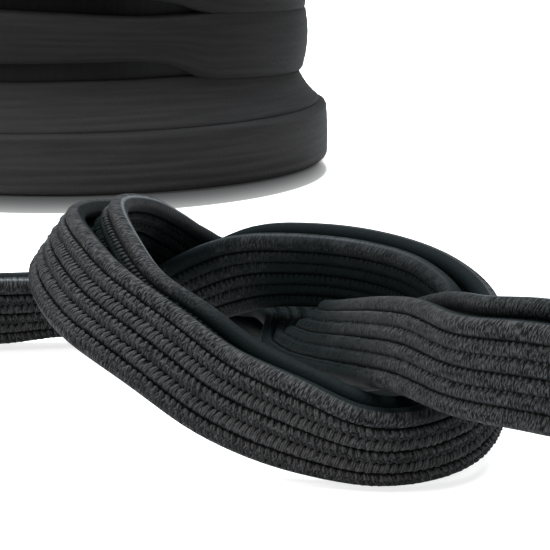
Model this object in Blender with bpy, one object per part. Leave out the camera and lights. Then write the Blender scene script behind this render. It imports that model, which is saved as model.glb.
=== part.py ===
"""A reel of flat braided elastic: a coreless roll that stands on its flat end, and the loose
end of its tape, which is folded double and tied in one overhand knot in front of the roll.

The origin is the middle of the roll's flat lower end, and +Z is the roll's axis.
-Y is the side where the knot lies. Lengths are metres, and the tables are millimetres.
"""

import math
from collections import namedtuple

import bpy
import bmesh
import numpy as np

MM = 0.001

# The tape: a flat braid round six elastic cords, which stand up as six ribs on each face.
TAPE_THICKNESS = 1.30 * MM
CORDS = 6
EDGE_CORD_SHARE = 1.25  # an edge cord's width in cord pitches, because the braid turns there
DEEP_GROOVE = 0.22 * MM  # beside the cords that the braid crosses between
SHALLOW_GROOVE = 0.12 * MM  # where the braid crosses
SELVEDGE_HALF = 0.26 * MM  # half the thickness of the tape at its very edge
STATION_STEP = 3.4 * MM  # sections along the tape where it bends
FOLD_SECTIONS = 5  # sections round the fold at the doubled end

# The roll: turns laid over each other in tiers, each about one tape width high.
EYE_RADIUS = 6.0 * MM  # the hole that the winding mandrel left
EYE_CHAMFER = 0.6 * MM
ROLL_SIDES = 44
LAP_ANGLE = 180.0  # degrees, where the outermost lap lifts off and becomes the loose end
LAP_STEP = 1.70 * MM  # how far the roll is cut back there: the tape and a hair's gap
LAP_FADE = 5  # sides of the roll over which the lap below comes out to full radius

# One tier: its radius, how far its upper edge is drawn in, and the seam at its upper edge:
# its height, its groove's depth, how far it climbs and falls round the roll, and the angle
# in degrees at which it is highest.
Tier = namedtuple("Tier", "radius slant seam groove climb highest")
TIERS = [
    Tier(24.00, 0.00, 5.15, 0.50, 1.20, 225),
    Tier(22.50, 0.70, 9.55, 0.40, 1.90, 225),
    Tier(22.15, 0.00, 15.40, 0.65, 1.70, 225),
    Tier(22.10, 0.00, 20.70, 0.70, 1.40, 215),
    Tier(22.40, 0.10, 25.90, 0.80, 1.10, 200),
    Tier(22.20, 0.25, 31.00, 0.85, 0.80, 200),
    Tier(21.90, -0.15, 36.15, 0.80, 0.40, 230),
    Tier(22.30, 0.00, 41.30, 0.70, 0.00, 0),
]
# A tier's outline above its lower seam: the share of its height, and of its groove's depth.
Bead = namedtuple("Bead", "height depth")
TIER_OUTLINE = [Bead(0.13, 0.25), Bead(0.5, 0.0), Bead(0.87, 0.25), Bead(1.0, 1.0)]

# The knot's table is measured from a point in front of the roll's axis.
KNOT_ORIGIN = (-1.2, -8.9, 0.0)

# One stop of the tape's route: the middle of the near layer, which way its upper edge
# points, its width, which is less where the elastic is under tension, and how far behind
# and below it the far layer lies, square to the near one.
Stop = namedtuple("Stop", "x y z edge_x edge_y edge_z width behind below", defaults=(1.95, 1.1))
LEAD = [  # one layer, from the roll to the knot, standing on edge
    Stop(-22.15, 8.6, 2.95, 0.00, 0.00, 1.00, 5.2),
    Stop(-22.25, 2.0, 2.95, 0.00, 0.00, 1.00, 5.2),
    Stop(-23.60, -10.0, 2.95, -0.03, 0.00, 1.00, 5.2),
    Stop(-26.30, -25.0, 2.95, -0.08, 0.00, 1.00, 5.2),
    Stop(-28.00, -40.0, 2.95, -0.14, 0.00, 0.99, 5.2),
    Stop(-26.80, -54.0, 2.94, -0.20, -0.06, 0.98, 5.3),
    Stop(-22.40, -66.0, 2.93, -0.20, -0.18, 0.96, 5.3),
    Stop(-15.00, -74.8, 2.94, -0.12, -0.34, 0.93, 5.2),
]
KNOT = [  # two layers
    Stop(-6.0, -79.8, 3.00, 0.00, -0.45, 0.89, 5.2, 1.95, 1.10),  # the tail at the left
    Stop(1.4, -79.0, 2.98, 0.00, -0.45, 0.89, 5.4, 1.95, 1.10),
    Stop(6.0, -78.6, 3.15, 0.00, -0.54, 0.84, 5.0, 1.95, 1.30),
    Stop(10.8, -79.6, 2.85, 0.00, -0.72, 0.69, 5.2, 1.95, 2.05),  # under the turned band
    Stop(15.1, -82.2, 5.25, 0.05, -0.45, 0.89, 5.4, 1.95, 0.90),
    Stop(18.6, -84.9, 6.85, 0.00, -0.38, 0.92, 5.5, 1.95, 0.40),  # the arch at the back
    Stop(22.2, -87.2, 7.40, 0.00, -0.47, 0.88, 5.5, 1.95, 0.40),
    Stop(26.2, -90.8, 7.57, 0.00, -0.50, 0.86, 5.5, 1.95, 0.40),
    Stop(29.7, -96.0, 7.25, 0.00, -0.42, 0.90, 5.5, 1.95, 0.30),
    Stop(31.75, -102.5, 6.10, -0.05, -0.33, 0.94, 5.5, 1.95, 0.00),  # the right side
    Stop(31.6, -109.0, 4.45, -0.12, -0.35, 0.93, 5.4, 1.95, -0.40),
    Stop(29.95, -114.1, 3.13, -0.12, -0.42, 0.90, 5.3, 1.95, -0.70),
    Stop(26.6, -116.1, 3.10, -0.08, -0.42, 0.90, 5.3, 1.95, -0.60),  # the front band
    Stop(22.5, -114.8, 3.88, 0.12, -0.20, 0.97, 5.9, 1.95, -0.15),
    Stop(18.3, -112.0, 5.20, 0.38, 0.00, 0.92, 5.7, 1.95, 0.60),
    Stop(14.7, -109.0, 7.20, 0.53, 0.22, 0.82, 5.6, 1.95, 1.20),
    Stop(11.5, -105.5, 8.67, 0.53, 0.38, 0.76, 5.7, 2.10, 1.40),
    Stop(9.85, -101.0, 10.22, 0.53, 0.30, 0.79, 5.6, 2.10, 1.60),
    Stop(9.15, -96.0, 11.20, 0.54, 0.16, 0.82, 5.2, 2.00, 1.90),  # the band turns over
    Stop(9.55, -90.4, 10.90, 0.62, 0.03, 0.78, 5.1, 1.95, 2.20),
    Stop(10.8, -84.5, 9.85, 0.72, 0.00, 0.69, 5.0, 1.95, 2.25),
    Stop(12.4, -79.1, 7.90, 0.74, 0.10, 0.66, 5.0, 1.95, 1.40),
    Stop(15.4, -75.0, 5.10, 0.76, 0.25, 0.60, 5.1, 2.00, 0.00),
    Stop(20.1, -76.2, 3.70, 0.92, 0.25, 0.25, 5.2, 1.95, 0.00),
    Stop(22.1, -81.0, 3.00, 0.98, 0.10, 0.08, 5.3, 1.75, 0.00),  # flat under the arch
    Stop(22.0, -85.8, 3.05, 0.98, 0.12, 0.12, 5.3, 1.75, 0.00),
    Stop(21.8, -90.4, 3.75, 0.89, 0.20, 0.38, 5.3, 1.85, 0.00),
    Stop(22.0, -95.4, 4.90, 0.74, 0.20, 0.63, 5.4, 1.95, 0.00),
    Stop(22.8, -101.8, 6.00, 0.63, 0.20, 0.74, 5.4, 1.95, 0.00),
    Stop(24.1, -107.7, 7.10, 0.54, 0.22, 0.81, 5.5, 1.95, -0.20),
    Stop(25.8, -113.2, 8.14, 0.42, 0.18, 0.89, 5.6, 1.95, -0.60),  # over the front band
    Stop(28.0, -119.6, 9.16, 0.25, 0.08, 0.96, 5.6, 1.95, -0.80),
    Stop(30.7, -126.3, 9.45, 0.03, 0.00, 1.00, 5.8, 1.95, -0.90),
    Stop(34.9, -130.8, 9.74, 0.00, 0.00, 1.00, 6.2, 1.95, -0.90),  # the tail at the right
    Stop(39.5, -133.8, 9.20, 0.05, 0.00, 1.00, 6.0, 1.95, -0.50),
    Stop(43.5, -135.8, 6.50, 0.15, 0.00, 0.97, 5.7, 2.00, 0.00),
    Stop(47.5, -137.2, 4.10, 0.10, 0.00, 0.98, 5.5, 2.60, 0.00),
    Stop(51.0, -138.2, 3.25, 0.00, 0.00, 1.00, 5.4, 4.00, 0.00),
    Stop(53.4, -138.8, 3.15, 0.00, 0.00, 1.00, 5.4, 5.00, 0.00),  # the fold
]

ROLL_COLOUR = (0.024, 0.024, 0.026, 1.0)
TAPE_COLOUR = (0.030, 0.030, 0.032, 1.0)
CLOTH_ROUGHNESS = 0.85
SMOOTH_ANGLE = 50.0  # degrees, above which an edge stays sharp


def remove_objects():
    """Empty the scene."""
    for old in list(bpy.data.objects):
        bpy.data.objects.remove(old, do_unlink=True)


def cloth(name, colour):
    """A dull textile finish."""
    material = bpy.data.materials.new(name)
    material.use_nodes = True
    shader = material.node_tree.nodes["Principled BSDF"]
    shader.inputs["Base Color"].default_value = colour
    shader.inputs["Roughness"].default_value = CLOTH_ROUGHNESS
    shader.inputs["Metallic"].default_value = 0.0
    return material


def lofted(name, loops, material, closed):
    """Join loops of points into one solid: round to the first loop again, or capped."""
    rows, count, _ = loops.shape
    points = loops.reshape(-1, 3)
    faces = []
    for row in range(rows if closed else rows - 1):
        here = row * count
        there = (row + 1) % rows * count
        for i in range(count):
            j = (i + 1) % count
            faces.append((here + i, here + j, there + j, there + i))
    if not closed:
        faces.append(tuple(reversed(range(count))))
        faces.append(tuple(range((rows - 1) * count, rows * count)))
    mesh = bpy.data.meshes.new(name)
    mesh.from_pydata(points.tolist(), [], faces)
    bm = bmesh.new()
    bm.from_mesh(mesh)
    bmesh.ops.remove_doubles(bm, verts=bm.verts, dist=1e-7)
    bmesh.ops.dissolve_degenerate(bm, edges=bm.edges, dist=1e-7)
    bmesh.ops.recalc_face_normals(bm, faces=bm.faces)
    bm.to_mesh(mesh)
    bm.free()
    mesh.shade_smooth()
    mesh.set_sharp_from_angle(angle=math.radians(SMOOTH_ANGLE))
    mesh.materials.append(material)
    piece = bpy.data.objects.new(name, mesh)
    bpy.context.collection.objects.link(piece)
    return piece


def seam_height(tier, angle):
    """How high a tier's upper seam lies at one angle round the roll."""
    return tier.seam + tier.climb * math.cos(math.radians(angle - tier.highest))


def roll_outline(angle, lap_cut):
    """The roll's section at one angle, as radius and height: up its tiers and down its eye."""
    low = 0.0
    outline = [(TIERS[0].radius * MM - TIERS[0].groove * MM / 2 - lap_cut, 0.0)]
    for tier in TIERS:
        high = seam_height(tier, angle)
        for bead in TIER_OUTLINE:
            radius = tier.radius - tier.slant * (2 * bead.height - 1) - tier.groove * bead.depth
            height = low + (high - low) * bead.height
            outline.append((radius * MM - lap_cut, height * MM))
        low = high
        lap_cut = 0.0
    top = TIERS[-1].seam * MM
    outline.append((EYE_RADIUS + EYE_CHAMFER, top))
    outline.append((EYE_RADIUS, top - EYE_CHAMFER))
    outline.append((EYE_RADIUS, EYE_CHAMFER))
    outline.append((EYE_RADIUS + EYE_CHAMFER, 0.0))
    return outline


def wound_roll():
    """The wound roll, with the notch where its outermost lap lifts off."""
    loops = []
    for side in range(ROLL_SIDES + 1):
        angle = LAP_ANGLE + 360.0 * side / ROLL_SIDES
        lap_cut = LAP_STEP * max(0.0, 1.0 - side / LAP_FADE)
        turn = math.radians(angle)
        outline = roll_outline(angle, lap_cut)
        loops.append([(r * math.cos(turn), r * math.sin(turn), z) for r, z in outline])
    return lofted("wound_roll", np.array(loops), cloth("wound tape", ROLL_COLOUR), closed=True)


def between(start, end, start_time, end_time, time):
    """A straight blend of two rows."""
    return ((end_time - time) * start + (time - start_time) * end) / (end_time - start_time)


def through(stops, step):
    """Rows about one step apart on a smooth curve through the stops (a Catmull-Rom spline)."""
    rows = np.array(stops)
    rows = np.vstack([2 * rows[0] - rows[1], rows, 2 * rows[-1] - rows[-2]])
    curve = []
    for i in range(1, len(rows) - 2):
        four = rows[i - 1:i + 3]
        gaps = np.linalg.norm(np.diff(four[:, :3], axis=0), axis=1)
        times = np.concatenate([[0.0], np.cumsum(np.sqrt(gaps))])
        count = max(2, round(gaps[1] * MM / step))
        for share in range(count):
            time = times[1] + (times[2] - times[1]) * share / count
            low = [between(four[k], four[k + 1], times[k], times[k + 1], time) for k in range(3)]
            mid = [between(low[k], low[k + 1], times[k], times[k + 2], time) for k in range(2)]
            curve.append(between(mid[0], mid[1], times[1], times[2], time))
    curve.append(rows[-2])
    return np.array(curve)


def unit(rows):
    """Rows of length one."""
    return rows / np.linalg.norm(rows, axis=1, keepdims=True)


def square_to(along, edge):
    """The upper-edge direction made square to the run, and the near face's direction."""
    upper = unit(edge - (edge * along).sum(axis=1, keepdims=True) * along)
    return upper, np.cross(along, upper)


def tape_route():
    """The tape from the roll to its cut end: middle, upper edge and width of each section."""
    near = through(LEAD + KNOT, STATION_STEP)
    near[:, :3] += KNOT_ORIGIN
    upper, face = square_to(unit(np.gradient(near[:, :3], axis=0)), near[:, 3:6])
    far = near[:, :3] - face * near[:, 7:8] - upper * near[:, 8:9]
    cut = int(np.argmin(np.linalg.norm(near[:, :3] - KNOT_ORIGIN - np.array(KNOT[0][:3]), axis=1)))

    # The fold at the end swings half a turn round an upright line between the two layers.
    hub = (near[-1, :3] + far[-1]) / 2
    spoke = near[-1, :3] - hub
    ahead = np.cross(upper[-1], spoke)
    turns = [math.pi * k / (FOLD_SECTIONS + 1) for k in range(1, FOLD_SECTIONS + 1)]
    fold = np.array([hub + spoke * math.cos(turn) + ahead * math.sin(turn) for turn in turns])

    middle = np.vstack([near[:, :3], fold, far[:cut - 1:-1]])
    edge = np.vstack([near[:, 3:6], np.repeat(upper[-1:], len(fold), axis=0), near[:cut - 1:-1, 3:6]])
    width = np.concatenate([near[:, 6], np.full(len(fold), near[-1, 6]), near[:cut - 1:-1, 6]])
    return middle * MM, edge, width * MM


def tape_section(width):
    """The tape's ribbed section: places across it, and heights over its middle plane."""
    pitch = width / (CORDS - 2 + 2 * EDGE_CORD_SHARE)
    crest = TAPE_THICKNESS / 2
    across = []
    over = []
    place = -width / 2
    for cord in range(CORDS):
        share = EDGE_CORD_SHARE if cord in (0, CORDS - 1) else 1.0
        across.append(place + share * pitch / 2)
        over.append(crest)
        place += share * pitch
        if cord < CORDS - 1:
            across.append(place)
            over.append(crest - (SHALLOW_GROOVE if cord % 2 else DEEP_GROOVE))
    across = [-width / 2] + across + [width / 2]
    over = [SELVEDGE_HALF] + over + [SELVEDGE_HALF]
    return across + across[::-1], over + [-v for v in over[::-1]]


def loose_end():
    """The loose end: the ribbed section carried along its route."""
    middle, edge, width = tape_route()
    upper, face = square_to(unit(np.gradient(middle, axis=0)), edge)
    loops = []
    for i in range(len(middle)):
        across, over = tape_section(width[i])
        loops.append(middle[i] + np.outer(across, upper[i]) + np.outer(over, face[i]))
    return lofted("loose_end", np.array(loops), cloth("loose tape", TAPE_COLOUR), closed=False)


def main():
    """Build the whole reel."""
    remove_objects()
    wound_roll()
    loose_end()


main()
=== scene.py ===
# %% [markdown]
# # A reel of flat braided elastic
#
# The reel is one long tape. Most of it is wound on itself into a roll without a core, and its
# loose end is folded double and tied in one overhand knot. The script builds the tape
# straight, as it comes off the braider, with its ribs and its stitches. Then it lays that
# straight tape along the route of the knot, and along the laps of the roll.

# %% The frame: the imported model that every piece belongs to
import math
from collections import namedtuple

import bmesh
import bpy
import numpy as np
from mathutils import Matrix
from mathutils.bvhtree import BVHTree


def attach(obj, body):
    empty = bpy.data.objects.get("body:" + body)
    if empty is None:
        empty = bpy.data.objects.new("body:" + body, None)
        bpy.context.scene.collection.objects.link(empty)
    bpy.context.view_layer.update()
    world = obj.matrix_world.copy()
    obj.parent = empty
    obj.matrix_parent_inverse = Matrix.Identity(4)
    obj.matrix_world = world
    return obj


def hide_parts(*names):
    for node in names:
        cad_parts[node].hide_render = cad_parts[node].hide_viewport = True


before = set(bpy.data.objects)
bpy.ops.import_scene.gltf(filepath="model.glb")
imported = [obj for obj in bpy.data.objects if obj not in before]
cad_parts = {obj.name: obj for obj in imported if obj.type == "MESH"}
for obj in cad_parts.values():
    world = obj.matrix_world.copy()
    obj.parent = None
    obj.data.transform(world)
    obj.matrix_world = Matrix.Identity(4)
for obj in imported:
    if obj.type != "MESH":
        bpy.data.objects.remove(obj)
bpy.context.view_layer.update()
MM = 0.001

# %% [markdown]
# ## Camera
#
# The picture is a close-up with a long lens, looking slightly down on the knot, with the roll
# behind it at the upper left. A long lens keeps the tape's width nearly the same from the
# front of the knot to its back.

# %% The camera
PICTURE_SIDE = 550  # pixels, of the square picture
FOCAL_PIXELS = 3545  # the distance at which one pixel is one unit
SENSOR = 36.0
CAMERA_PLACE = (19.1 * MM, -326.9 * MM, 51.6 * MM)
CAMERA_PITCH = math.radians(10.92)  # below the horizon


def placed(name, data):
    """An object with this data, linked to the scene."""
    new = bpy.data.objects.new(name, data)
    bpy.context.collection.objects.link(new)
    return new


camera_data = bpy.data.cameras.new("camera")
camera_data.sensor_width = SENSOR
camera_data.lens = FOCAL_PIXELS / PICTURE_SIDE * SENSOR
camera_data.clip_start = 0.01
camera_data.clip_end = 20.0
camera = placed("camera", camera_data)
camera.location = CAMERA_PLACE
camera.rotation_euler = (math.pi / 2 - CAMERA_PITCH, 0.0, 0.0)
bpy.context.scene.camera = camera
print("lens %.0f mm" % camera_data.lens)

# %% [markdown]
# ## The route of the loose end
#
# The route is a short table of stops. Each stop says where the middle of the
# near layer is, which way its upper edge points, how wide the tape is there, and where the
# second layer lies behind it. A smooth curve through the stops gives the rest. Elastic under
# tension is narrower, so the tape is narrowest where the knot turns most.

# %% The stops of the route, in millimetres from the knot's own origin
KNOT_ORIGIN = (-1.2, -8.9, 0.0)
Stop = namedtuple("Stop", "x y z edge_x edge_y edge_z width behind below", defaults=(1.95, 1.1))
LEAD = [  # one layer, from the roll to the knot, standing on edge
    Stop(-22.15, 8.6, 2.95, 0.00, 0.00, 1.00, 5.2),
    Stop(-22.25, 2.0, 2.95, 0.00, 0.00, 1.00, 5.2),
    Stop(-23.60, -10.0, 2.95, -0.03, 0.00, 1.00, 5.2),
    Stop(-26.30, -25.0, 2.95, -0.08, 0.00, 1.00, 5.2),
    Stop(-28.00, -40.0, 2.95, -0.14, 0.00, 0.99, 5.2),
    Stop(-26.80, -54.0, 2.94, -0.20, -0.06, 0.98, 5.3),
    Stop(-22.40, -66.0, 2.93, -0.20, -0.18, 0.96, 5.3),
    Stop(-15.00, -74.8, 2.94, -0.12, -0.34, 0.93, 5.2),
]
KNOT = [  # two layers
    Stop(-6.0, -79.8, 3.00, 0.00, -0.45, 0.89, 5.2, 1.95, 1.10),  # the tail at the left
    Stop(1.4, -79.0, 2.98, 0.00, -0.45, 0.89, 5.4, 1.95, 1.10),
    Stop(6.0, -78.6, 3.15, 0.00, -0.54, 0.84, 5.0, 1.95, 1.30),
    Stop(10.8, -79.6, 2.85, 0.00, -0.72, 0.69, 5.2, 1.95, 2.05),  # under the turned band
    Stop(15.1, -82.2, 5.25, 0.05, -0.45, 0.89, 5.4, 1.95, 0.90),
    Stop(18.6, -84.9, 6.85, 0.00, -0.38, 0.92, 5.5, 1.95, 0.40),  # the arch at the back
    Stop(22.2, -87.2, 7.40, 0.00, -0.47, 0.88, 5.5, 1.95, 0.40),
    Stop(26.2, -90.8, 7.57, 0.00, -0.50, 0.86, 5.5, 1.95, 0.40),
    Stop(29.7, -96.0, 7.25, 0.00, -0.42, 0.90, 5.5, 1.95, 0.30),
    Stop(31.75, -102.5, 6.10, -0.05, -0.33, 0.94, 5.5, 1.95, 0.00),  # the right side
    Stop(31.6, -109.0, 4.45, -0.12, -0.35, 0.93, 5.4, 1.95, -0.40),
    Stop(29.95, -114.1, 3.13, -0.12, -0.42, 0.90, 5.3, 1.95, -0.70),
    Stop(26.6, -116.1, 3.10, -0.08, -0.42, 0.90, 5.3, 1.95, -0.60),  # the front band
    Stop(22.5, -114.8, 3.88, 0.12, -0.20, 0.97, 5.9, 1.95, -0.15),
    Stop(18.3, -112.0, 5.20, 0.38, 0.00, 0.92, 5.7, 1.95, 0.60),
    Stop(14.7, -109.0, 7.20, 0.53, 0.22, 0.82, 5.6, 1.95, 1.20),
    Stop(11.5, -105.5, 8.67, 0.53, 0.38, 0.76, 5.7, 2.10, 1.40),
    Stop(9.85, -101.0, 10.22, 0.53, 0.30, 0.79, 5.6, 2.10, 1.60),
    Stop(9.15, -96.0, 11.20, 0.54, 0.16, 0.82, 5.2, 2.00, 1.90),  # the band turns over
    Stop(9.55, -90.4, 10.90, 0.62, 0.03, 0.78, 5.1, 1.95, 2.20),
    Stop(10.8, -84.5, 9.85, 0.72, 0.00, 0.69, 5.0, 1.95, 2.25),
    Stop(12.4, -79.1, 7.90, 0.74, 0.10, 0.66, 5.0, 1.95, 1.40),
    Stop(15.4, -75.0, 5.10, 0.76, 0.25, 0.60, 5.1, 2.00, 0.00),
    Stop(20.1, -76.2, 3.70, 0.92, 0.25, 0.25, 5.2, 1.95, 0.00),
    Stop(22.1, -81.0, 3.00, 0.98, 0.10, 0.08, 5.3, 1.75, 0.00),  # flat under the arch
    Stop(22.0, -85.8, 3.05, 0.98, 0.12, 0.12, 5.3, 1.75, 0.00),
    Stop(21.8, -90.4, 3.75, 0.89, 0.20, 0.38, 5.3, 1.85, 0.00),
    Stop(22.0, -95.4, 4.90, 0.74, 0.20, 0.63, 5.4, 1.95, 0.00),
    Stop(22.8, -101.8, 6.00, 0.63, 0.20, 0.74, 5.4, 1.95, 0.00),
    Stop(24.1, -107.7, 7.10, 0.54, 0.22, 0.81, 5.5, 1.95, -0.20),
    Stop(25.8, -113.2, 8.14, 0.42, 0.18, 0.89, 5.6, 1.95, -0.60),  # over the front band
    Stop(28.0, -119.6, 9.16, 0.25, 0.08, 0.96, 5.6, 1.95, -0.80),
    Stop(30.7, -126.3, 9.45, 0.03, 0.00, 1.00, 5.8, 1.95, -0.90),
    Stop(34.9, -130.8, 9.74, 0.00, 0.00, 1.00, 6.2, 1.95, -0.90),  # the tail at the right
    Stop(39.5, -133.8, 9.20, 0.05, 0.00, 1.00, 6.0, 1.95, -0.50),
    Stop(43.5, -135.8, 6.50, 0.15, 0.00, 0.97, 5.7, 2.00, 0.00),
    Stop(47.5, -137.2, 4.10, 0.10, 0.00, 0.98, 5.5, 2.60, 0.00),
    Stop(51.0, -138.2, 3.25, 0.00, 0.00, 1.00, 5.4, 4.00, 0.00),
    Stop(53.4, -138.8, 3.15, 0.00, 0.00, 1.00, 5.4, 5.00, 0.00),  # the fold
]


# %% [markdown]
# A Catmull-Rom spline passes through every stop, so the table says exactly where the tape
# goes. The far layer is worked out from the near one, square to it, so the two never part
# or touch by accident. The fold that joins them is a half circle between their ends.

# %% From the stops to a close row of places along the tape
ROUTE_STEP = 0.4 * MM
SOFTEN = 3  # rows on each side that a bend is averaged over
FOLD_ROWS = 20


def between(start, end, start_time, end_time, time):
    """A straight blend of two rows."""
    return ((end_time - time) * start + (time - start_time) * end) / (end_time - start_time)


def through(stops, step):
    """Rows about one step apart on a smooth curve through the stops."""
    rows = np.array(stops)
    rows = np.vstack([2 * rows[0] - rows[1], rows, 2 * rows[-1] - rows[-2]])
    curve = []
    for i in range(1, len(rows) - 2):
        four = rows[i - 1:i + 3]
        gaps = np.linalg.norm(np.diff(four[:, :3], axis=0), axis=1)
        times = np.concatenate([[0.0], np.cumsum(np.sqrt(gaps))])
        count = max(2, round(gaps[1] * MM / step))
        for share in range(count):
            time = times[1] + (times[2] - times[1]) * share / count
            low = [between(four[k], four[k + 1], times[k], times[k + 1], time) for k in range(3)]
            mid = [between(low[k], low[k + 1], times[k], times[k + 2], time) for k in range(2)]
            curve.append(between(mid[0], mid[1], times[1], times[2], time))
    curve.append(rows[-2])
    return np.array(curve)


def softened(rows, reach):
    """Each row averaged with its neighbours, and the two ends kept."""
    weights = np.hanning(2 * reach + 3)[1:-1]
    padded = np.pad(rows, ((reach, reach), (0, 0)), mode="reflect", reflect_type="odd")
    columns = [np.convolve(column, weights / weights.sum(), "valid") for column in padded.T]
    return np.array(columns).T


def unit(rows):
    """Rows of length one."""
    return rows / np.linalg.norm(rows, axis=1, keepdims=True)


def square_to(along, edge):
    """The upper-edge direction made square to the run, and the near face's direction."""
    upper = unit(edge - (edge * along).sum(axis=1, keepdims=True) * along)
    return upper, np.cross(along, upper)


def loose_route():
    """The tape from the roll to its cut end: middle, upper edge and width of each row."""
    near = softened(through(LEAD + KNOT, ROUTE_STEP), SOFTEN)
    near[:, :3] += KNOT_ORIGIN
    upper, face = square_to(unit(np.gradient(near[:, :3], axis=0)), near[:, 3:6])
    far = near[:, :3] - face * near[:, 7:8] - upper * near[:, 8:9]
    start = np.array(KNOT[0][:3]) + KNOT_ORIGIN
    cut = int(np.argmin(np.linalg.norm(near[:, :3] - start, axis=1)))
    hub = (near[-1, :3] + far[-1]) / 2
    spoke = near[-1, :3] - hub
    ahead = np.cross(upper[-1], spoke)
    turns = np.linspace(0.0, math.pi, FOLD_ROWS + 2)[1:-1, None]
    fold = hub + spoke * np.cos(turns) + ahead * np.sin(turns)
    middle = np.vstack([near[:, :3], fold, far[:cut - 1:-1]]) * MM
    edge = np.vstack([near[:, 3:6], np.repeat(upper[-1:], len(fold), axis=0), near[:cut - 1:-1, 3:6]])
    width = np.concatenate([near[:, 6], np.full(len(fold), near[-1, 6]), near[:cut - 1:-1, 6]]) * MM
    return middle, edge, width


class Route:
    """A run of tape: its middle line, its upper-edge and face directions, and its width."""

    def __init__(self, middle, edge, width):
        self.middle = middle
        self.upper, self.face = square_to(unit(np.gradient(middle, axis=0)), edge)
        self.width = width
        steps = np.linalg.norm(np.diff(middle, axis=0), axis=1)
        self.travel = np.concatenate([[0.0], np.cumsum(steps)])
        self.length = self.travel[-1]

    def at(self, values, travel):
        """A row of values, such as the middle line, read at any length of travel."""
        if values.ndim == 1:
            return np.interp(travel, self.travel, values)
        return np.stack([np.interp(travel, self.travel, column) for column in values.T], axis=1)


loose = Route(*loose_route())
print("loose end %.0f mm long" % (loose.length / MM))

# %% [markdown]
# ## The straight tape
#
# The braid goes round six elastic cords, and each makes a rib on both faces. Between cords 1
# and 2, 3 and 4, 5 and 6 the yarns dive straight down, which leaves deep, straight grooves.
# Between 2 and 3, 4 and 5 they cross over, so those grooves are shallower and zigzag. The
# outer cords are wrapped a little wider, because the yarns turn back there.
#
# The tape is modelled straight and flat: x is the travel along it, y the place across it,
# and z the height over its middle. A grid of rows and columns is bent round this section.

# %% Sizes of the tape, and its ribbed section
THICKNESS = 1.30 * MM
NOMINAL_WIDTH = 5.5 * MM
CORDS = 6
EDGE_SHARE = 1.25  # an edge cord's width in cord pitches
PITCHES = CORDS - 2 + 2 * EDGE_SHARE
CORD_PITCH = NOMINAL_WIDTH / PITCHES
DEEP = 0.33 * MM  # the straight grooves
CROSSED = 0.24 * MM  # the zigzag grooves
RIB_ROUNDNESS = 2.6  # a higher power keeps the rib flatter and the groove narrower
EDGE_ROUNDNESS = 2.2  # the same for the tape's very edge
WOUND_RELIEF = 0.10  # the share of the grooves' depth left where the tape is wound stretched
Shares = namedtuple("Shares", "rib edge")
# Where a section has its points: on a rib, -0.5 to 0.5, and on an edge cord, from its outside.
RIB_START = -0.5  # the bottom of the groove beside a rib
CLOSE_SHARES = Shares([RIB_START, -0.41, -0.24, 0.0, 0.24, 0.41],
                      [-1.0, -0.94, -0.78, -0.50, -0.10, 0.35, 0.75])
ROLL_SHARES = Shares([RIB_START, -0.32, 0.0, 0.32], [-1.0, -0.90, -0.60, -0.05, 0.55])
PLAIN_SHARES = Shares([0.0], [-1.0, -0.80, 0.0])


def cord_span(cord):
    """Where a cord lies across the tape, in cord pitches from the upper edge."""
    start = 0.0 if cord == 0 else EDGE_SHARE + cord - 1
    end = PITCHES if cord == CORDS - 1 else EDGE_SHARE + cord
    return start, end


def groove_depth(line):
    """The groove between cords line and line + 1, counted from 0."""
    return CROSSED if line % 2 else DEEP


def face_profile(shares, relief=1.0):
    """Places across one face, in pitches, and heights over the tape's middle, edge to edge."""
    crest = THICKNESS / 2
    start, end = cord_span(0)
    middle = (start + end) / 2
    places = [middle + share * (end - start) / 2 for share in shares.edge]
    heights = [
        crest * math.sqrt(max(0.0, 1.0 - abs(share) ** EDGE_ROUNDNESS)) if share < 0
        else crest - groove_depth(0) * relief * share ** RIB_ROUNDNESS
        for share in shares.edge
    ]
    edge_places = list(places)
    edge_heights = list(heights)
    for cord in range(1, CORDS - 1):
        start, end = cord_span(cord)
        for share in shares.rib:
            places.append((start + end) / 2 + share * (end - start))
            depth = groove_depth(cord - 1) if share < 0 else groove_depth(cord)
            heights.append(crest - depth * relief * abs(2 * share) ** RIB_ROUNDNESS)
    if shares.rib[0] == RIB_START:
        places.append(cord_span(CORDS - 1)[0])
        heights.append(crest - groove_depth(CORDS - 2) * relief)
    places += [PITCHES - place for place in reversed(edge_places)]
    heights += reversed(edge_heights)
    return np.array(places), np.array(heights)


Section = namedtuple("Section", "across height place")


def tape_loop(shares, relief=1.0):
    """The whole section as a loop: across (metres, upper edge first), height, and the place."""
    places, heights = face_profile(shares, relief)
    across = (PITCHES / 2 - places) * CORD_PITCH
    return Section(
        np.concatenate([across, across[-2:0:-1]]),
        np.concatenate([heights, -heights[-2:0:-1]]),
        np.concatenate([places, 2 * PITCHES - places[-2:0:-1]]),
    )


close_section = tape_loop(CLOSE_SHARES)
roll_section = tape_loop(ROLL_SHARES, WOUND_RELIEF)
plain_section = tape_loop(PLAIN_SHARES)
sections = (close_section, roll_section, plain_section)
print("sections of", [len(section.across) for section in sections], "points")

# %% [markdown]
# The straight tape is laid along a route by one function. It reads each vertex's x as a
# length of travel, and y and z as steps along the route's edge and face directions. All that
# sits on the tape, such as its stitches, goes through the same function, so it stays on it.

# %% Laying straight work along a route
def laid(route, straight):
    """Straight work moved onto the route: rows of travel, across and height."""
    travel, across, height = straight.T
    middle = route.at(route.middle, travel)
    upper = unit(route.at(route.upper, travel))
    face = unit(route.at(route.face, travel))
    narrowed = route.at(route.width, travel) / NOMINAL_WIDTH
    return middle + upper * (across * narrowed)[:, None] + face * height[:, None]


def new_mesh(bm, name):
    """The bmesh as a mesh, and the bmesh freed."""
    mesh = bpy.data.meshes.new(name)
    bm.to_mesh(mesh)
    bm.free()
    return mesh


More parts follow.
